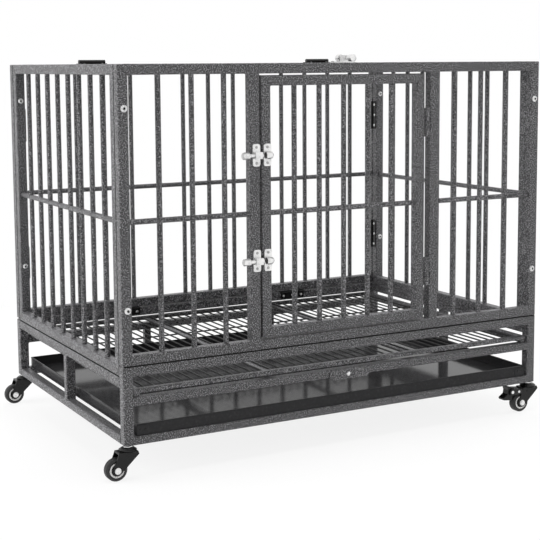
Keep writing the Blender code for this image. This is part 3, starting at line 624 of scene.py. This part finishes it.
def brake_ears(corner, x, y):
    """Ears of the fork's cheeks that carry the brake's rivets."""
    end_x, end_z, _ = BRAKE_RIVETS[0]
    end_radius = 0.0072
    outline = [(-0.0225, 0.0400), (-0.0225, 0.0500), (-0.0340, 0.0515)]
    for k in range(9):
        angle = math.radians(80 + 200 * k / 8)
        outline.append((
            end_x + end_radius * math.cos(angle), end_z + end_radius * math.sin(angle),
        ))
    waist = -0.036
    ears = bmesh.new()
    for facing in (-1, 1):
        levels = ((EAR_INNER, 1.0), (EAR_OUTER * 0.985, 1.0), (EAR_OUTER, 0.96))
        skin(ears, [
            [(x + waist + (px - waist) * shrink, y + facing * level,
              end_z + (pz - end_z) * shrink) for px, pz in outline]
            for level, shrink in levels
        ])
    finish_piece(corner + "_brake_ears", ears, BLACK, corner + "_caster")


def caster_trim(corner, x, y):
    """The fork's rivets, the axle's nut and bolt, and the ears of the brake."""
    axle = middle(corner + "_axle_bolt")
    axle.y = at_home(corner + "_axle_bolt")[1].y
    bright = bmesh.new()
    hex_nut(bright, axle, (0, 1, 0), radius=0.0040, height=0.0016)
    if "right" in corner:
        for facing in (-1, 1):
            for reach, height, radius in BRAKE_RIVETS:
                at = (x + reach, y + facing * EAR_OUTER, height)
                rivet_head(bright, at, (0, facing, 0), radius, 0.0016)
        brake_ears(corner, x, y)
    body = corner + "_caster"
    finish_piece(corner + "_fork_fasteners", bright, ZINC, body)
    axle_bolt(corner)


# Wire floor and tray

RIM_DEPTH = 0.012
RIM_HEIGHT = 0.0085
WIRE_RADIUS = 0.0016
WIRE_DROP = 0.0004
WIRE_COUNT = 43


def grate_rim():
    """The wire floor's slim rim on two skids, with two flat supports."""
    low, high = at_home("floor_grate")
    up = (0, 0, 1)
    steel = bmesh.new()
    section = rounded(RIM_DEPTH, RIM_HEIGHT, 0.0018, across=-RIM_DEPTH / 2)
    hoop(steel, low, high, high.z - RIM_HEIGHT / 2, section)

    skid_width, skid_inset, skid_end, overlap = 0.010, 0.0065, 0.0015, 0.0004
    skid_height = high.z - RIM_HEIGHT - low.z + overlap
    section = rounded(skid_width, skid_height, 0.0012)
    level = low.z + skid_height / 2
    for x in (low.x + skid_inset, high.x - skid_inset):
        start, end = (x, low.y + skid_end, level), (x, high.y - skid_end, level)
        prism(steel, start, end, up, section)

    support_width, support_height, support_end, support_reach = 0.020, 0.003, 0.010, 0.1605
    section = rounded(support_width, support_height, 0.001)
    level = high.z - WIRE_RADIUS - WIRE_DROP - support_height
    for side in (-1, 1):
        x = (low.x + high.x) / 2 + side * support_reach
        start, end = (x, low.y + support_end, level), (x, high.y - support_end, level)
        prism(steel, start, end, up, section)
    rim = finish_piece("grate_rim", steel, HAMMERTONE, "floor_grate")
    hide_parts("floor_grate")


def grate_wires():
    """The wire floor's round wires from front to back, and two across under them."""
    low, high = at_home("floor_grate")
    up = (0, 0, 1)
    section = circle(WIRE_RADIUS, 10)
    end = RIM_DEPTH - 0.001
    level = high.z - WIRE_RADIUS - WIRE_DROP
    pitch = (high.x - low.x - RIM_DEPTH) / (WIRE_COUNT + 1)
    wires = bmesh.new()
    for k in range(WIRE_COUNT):
        x = (low.x + high.x) / 2 + pitch * (k - (WIRE_COUNT - 1) / 2)
        prism(wires, (x, low.y + end, level), (x, high.y - end, level), up, section)
    below = level - 2 * WIRE_RADIUS + 0.0003
    for share in (1 / 3, 2 / 3):
        y = low.y + (high.y - low.y) * share
        prism(wires, (low.x + end, y, below), (high.x - end, y, below), up, section)
    # The wires take the darkened paint, which holds painted shade.
    strands = finish_piece("grate_wires", wires, WIRE, "floor_grate")
    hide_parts("floor_grate")


def tray_trim():
    """The tray's hemmed rim, and the riveted flaps at its four corners."""
    low, high = at_home("tray")
    rim, flaps, rivets = bmesh.new(), bmesh.new(), bmesh.new()
    hoop(rim, low, high, high.z - 0.0004, circle(0.0012, 10, across=-0.0006))
    outline = (
        (0.0004, 0.002), (0.0004, 0.0188), (0.019, 0.0188), (0.0225, 0.0165),
        (0.024, 0.0125), (0.024, 0.006), (0.0215, 0.002),
    )
    flap_face, rivet_height = 0.0009, 0.0112
    for end, inward in ((low.x, 1), (high.x, -1)):
        for wall, facing in ((low.y, -1), (high.y, 1)):
            skin(flaps, [
                [(end + inward * across, wall + facing * level, low.z + up)
                 for across, up in outline]
                for level in (-0.0002, flap_face)
            ])
            for across in (0.0062, 0.0165):
                at = (end + inward * across, wall + facing * flap_face, low.z + rivet_height)
                rivet_head(rivets, at, (0, facing, 0), 0.0017, 0.0007)
    finish_piece("tray_rim", rim, TRAY, "tray")
    finish_piece("tray_corner_flaps", flaps, TRAY, "tray")
    finish_piece("tray_rivets", rivets, BLACK, "tray")


# Painted seam shade and welds


def seams():
    """Painted shade: thin black strips in the grooves where the walls meet each other and
    the base, for the shadow in the gaps between them.
    """
    groove = ((-0.00135, -0.0001), (0.00135, -0.0001), (0.0002, -0.0013), (-0.0002, -0.0013))
    end = 0.002
    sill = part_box("base_front_frame")[1].z
    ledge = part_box("base_left_frame")[1].z
    low, high = at_home("left_panel")
    top = high.z - end
    reach = SIDE - 0.0025
    lines = bmesh.new()
    prism(lines, (-reach, FRONT, sill), (reach, FRONT, sill), (0, -1, 0), groove)
    for side in (-1, 1):
        out = (side, 0, 0)
        x = side * SIDE
        prism(lines, (x, low.y, ledge), (x, high.y, ledge), out, groove)
        prism(lines, (x, low.y, sill + end), (x, low.y, top), out, groove)
        prism(lines, (x, high.y, ledge + end), (x, high.y, top), out, groove)
    finish_piece("painted_seam_shade", lines, SEAM_SHADE, "cage")


def bead(bm, start, end, normal):
    """A thin, slightly uneven weld bead along a line on a flat face."""
    width, height, steps = 0.0011, 0.00022, 7
    section = ((-0.5, -0.4), (-0.32, 0.75), (0.0, 1.0), (0.32, 0.75), (0.5, -0.4))
    start, end, normal = Vector(start), Vector(end), Vector(normal)
    run = end - start
    side = normal.cross(run).normalized()
    rows = []
    for k in range(steps + 1):
        place = start + run * k / steps
        swell = 1.0 + 0.22 * math.sin(2.4 * k) if 0 < k < steps else 0.55
        rows.append([
            place + side * (across * width * swell) + normal * (up * height)
            for across, up in section
        ])
    skin(bm, rows)


def mitre_welds(node, body, axis, facing):
    """Ground weld lines across the four mitred corners of a frame's outer face."""
    low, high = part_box(node)
    if node in ("front_panel", "door"):
        # Hinge barrels stand out of the front of these two.
        low.y = front_low.y
    if node == "door":
        high.x -= BARREL_REACH
    first, second = (run for run in range(3) if run != axis)
    normal = Vector((0, 0, 0))
    normal[axis] = facing
    level = (high if facing > 0 else low)[axis]
    welds = bmesh.new()
    for u, su in ((low[first], 1), (high[first], -1)):
        for v, sv in ((low[second], 1), (high[second], -1)):
            ends = []
            for reach in (0.0012, TUBE - 0.0006):
                place = Vector((0, 0, 0))
                place[axis] = level
                place[first] = u + su * reach
                place[second] = v + sv * reach
                ends.append(HOME.inverted() @ place)
            bead(welds, *ends, normal)
    finish_piece(node + "_mitre_welds", welds, WELD, body)


wall_screws()
hinge_screws()
latch_rivets()
stem_nuts()
tray_trim()
grate_rim()
grate_wires()
seams()
mitre_welds("front_panel", "cage", axis=1, facing=-1)
mitre_welds("back_panel", "cage", axis=1, facing=1)
mitre_welds("left_panel", "cage", axis=0, facing=-1)
mitre_welds("right_panel", "cage", axis=0, facing=1)
mitre_welds("door", "door", axis=1, facing=-1)
mitre_welds("lid", "lid", axis=2, facing=1)
for corner, (x, y) in CORNERS.items():
    wheel_trim(corner)
    caster_trim(corner, x, y)


# Floor, light and camera


def floor():
    """A pale floor that keeps a soft shadow and fades into the white backdrop."""
    mesh = bpy.data.meshes.new("floor")
    bm = bmesh.new()
    bmesh.ops.create_grid(bm, x_segments=1, y_segments=1, size=12.0)
    bm.to_mesh(mesh)
    bm.free()
    obj = bpy.data.objects.new("floor", mesh)
    bpy.context.scene.collection.objects.link(obj)
    paint = Shader("pale_floor", specular=0.0)
    paint.main.inputs["Base Color"].default_value = (0.9, 0.9, 0.9, 1.0)
    paint.main.inputs["Roughness"].default_value = 0.8
    glow = paint.add("ShaderNodeEmission")
    glow.inputs["Strength"].default_value = 1.0
    reach = paint.add("ShaderNodeVectorMath", operation="LENGTH")
    paint.join(paint.place, reach.inputs[0])
    fade = paint.span(reach.outputs["Value"], 0.86, 1.0, start=0.6, end=1.4)
    ray = paint.add("ShaderNodeLightPath").outputs
    seen = paint.calculate("MAXIMUM", ray["Is Camera Ray"], ray["Is Glossy Ray"])
    mix = paint.add("ShaderNodeMixShader")
    paint.join(paint.calculate("MULTIPLY", fade, seen), mix.inputs[0])
    paint.join(paint.main.outputs[0], mix.inputs[1])
    paint.join(glow.outputs[0], mix.inputs[2])
    paint.join(mix.outputs[0], paint.tree.nodes["Material Output"].inputs["Surface"])
    mesh.materials.append(paint.material)


def lamp(name, at, target, size, power):
    """A square studio softbox, seen neither by the camera nor in reflections."""
    data = bpy.data.lights.new(name, "AREA")
    data.size = size
    data.energy = power
    obj = bpy.data.objects.new(name, data)
    bpy.context.scene.collection.objects.link(obj)
    obj.location = HOME @ Vector(at)
    obj.rotation_euler = (Vector(target) - Vector(at)).to_track_quat("-Z", "Y").to_euler()
    obj.visible_camera = False
    obj.visible_glossy = False


def world():
    """White to the camera and in reflections, a softer grey as light."""
    made = bpy.data.worlds.new("studio")
    made.use_nodes = True
    tree = made.node_tree
    ray = tree.nodes.new("ShaderNodeLightPath").outputs
    seen = ray["Is Camera Ray"]
    for kind in ("Is Glossy Ray", "Is Transmission Ray"):
        either = tree.nodes.new("ShaderNodeMath")
        either.operation = "MAXIMUM"
        tree.links.new(seen, either.inputs[0])
        tree.links.new(ray[kind], either.inputs[1])
        seen = either.outputs[0]
    level = tree.nodes.new("ShaderNodeMapRange")
    level.inputs["To Min"].default_value = 0.1
    level.inputs["To Max"].default_value = 1.0
    tree.links.new(seen, level.inputs["Value"])
    backdrop = tree.nodes["Background"]
    backdrop.inputs["Color"].default_value = (1.0, 1.0, 1.0, 1.0)
    tree.links.new(level.outputs["Result"], backdrop.inputs["Strength"])
    bpy.context.scene.world = made


def camera():
    """The photograph's viewing angle, as fitted to the frame's corners in it."""
    place = Matrix.Translation((-1.26564, -2.32779, 0.72976))
    yaw, pitch, roll = 0.49758, 0.11146, -0.00662
    data = bpy.data.cameras.new("camera")
    data.lens = 84.07
    data.sensor_width = 36.0
    data.shift_y = -0.12
    obj = bpy.data.objects.new("camera", data)
    bpy.context.scene.collection.objects.link(obj)
    obj.matrix_world = (
        HOME @ place
        @ Matrix.Rotation(-yaw, 4, "Z")
        @ Matrix.Rotation(math.pi / 2 - pitch, 4, "X")
        @ Matrix.Rotation(roll, 4, "Z")
    )
    bpy.context.scene.camera = obj


floor()
world()
lamp("front_left", (-0.5, -1.25, 0.95), (-0.2, 0.0, 0.4), size=0.8, power=2.8)
lamp("front_right", (0.6, -1.25, 0.95), (0.2, 0.0, 0.4), size=0.8, power=2.4)
lamp("left", (-2.5, 0.5, 1.2), (-0.4, 0.0, 0.4), size=2.0, power=64.0)
lamp("top", (0.0, -0.2, 2.7), (0.0, 0.0, 0.4), size=1.6, power=48.0)
lamp("back", (0.8, 2.6, 1.3), (0.0, 0.3, 0.4), size=1.8, power=60.0)
lamp("right", (2.7, 0.3, 1.1), (0.4, 0.0, 0.4), size=1.8, power=60.0)
camera()
bpy.context.scene.view_settings.view_transform = "Standard"
